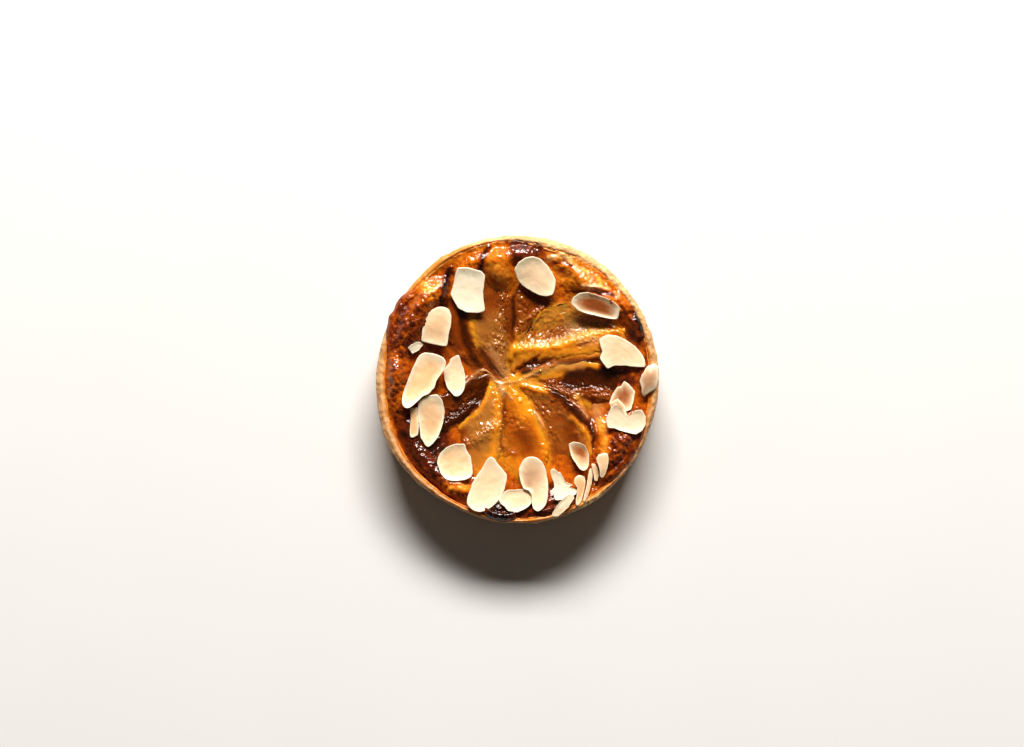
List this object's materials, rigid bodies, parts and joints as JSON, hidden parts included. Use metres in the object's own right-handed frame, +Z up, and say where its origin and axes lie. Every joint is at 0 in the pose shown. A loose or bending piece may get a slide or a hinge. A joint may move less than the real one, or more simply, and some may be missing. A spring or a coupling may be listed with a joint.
{
  "type": "almond tart",
  "caption": "Individual round almond tart: a plain shortcrust shell filled with baked almond cream, topped with a rosette of glazed pear slices and flaked almonds.",
  "frame": {"origin": "centre of the tart's flat base, on the surface it rests on", "axes": "+Z up out of the tart's top; +X to the right and +Y away from the viewer as it is seen from the front; the tart is round, so X and Y only fix how the slices and flakes are turned"},
  "size_m": [0.0992, 0.101, 0.0251],
  "materials": {
    "shortcrust": "matt, baked golden, slightly rough",
    "baked_filling": "browned and blistered under a clear glaze",
    "glazed_pear": "wet, translucent, glazed",
    "almond": "satin"
  },
  "bodies": {
    "root": {"pastry_shell": "shortcrust", "almond_filling": "baked_filling", "pear_north_east": "glazed_pear", "pear_north_west": "glazed_pear", "pear_east": "glazed_pear", "pear_west": "glazed_pear", "pear_south_west": "glazed_pear", "pear_south_east": "glazed_pear", "pear_large_east": "glazed_pear", "pear_north": "glazed_pear", "pear_south": "glazed_pear", "almond_flake_01": "almond", "almond_flake_02": "almond", "almond_flake_03": "almond", "almond_flake_04": "almond", "almond_flake_05": "almond", "almond_flake_06": "almond", "almond_flake_07": "almond", "almond_flake_08": "almond", "almond_flake_09": "almond", "almond_flake_10": "almond", "almond_flake_11": "almond", "almond_flake_12": "almond", "almond_flake_13": "almond", "almond_flake_14": "almond", "almond_flake_15": "almond", "almond_flake_16": "almond", "almond_flake_17": "almond", "almond_flake_18": "almond", "almond_flake_19": "almond", "almond_flake_20": "almond", "almond_flake_21": "almond", "almond_flake_22": "almond", "almond_flake_23": "almond", "almond_flake_24": "almond", "almond_flake_25": "almond"}
  },
  "joints": []
}
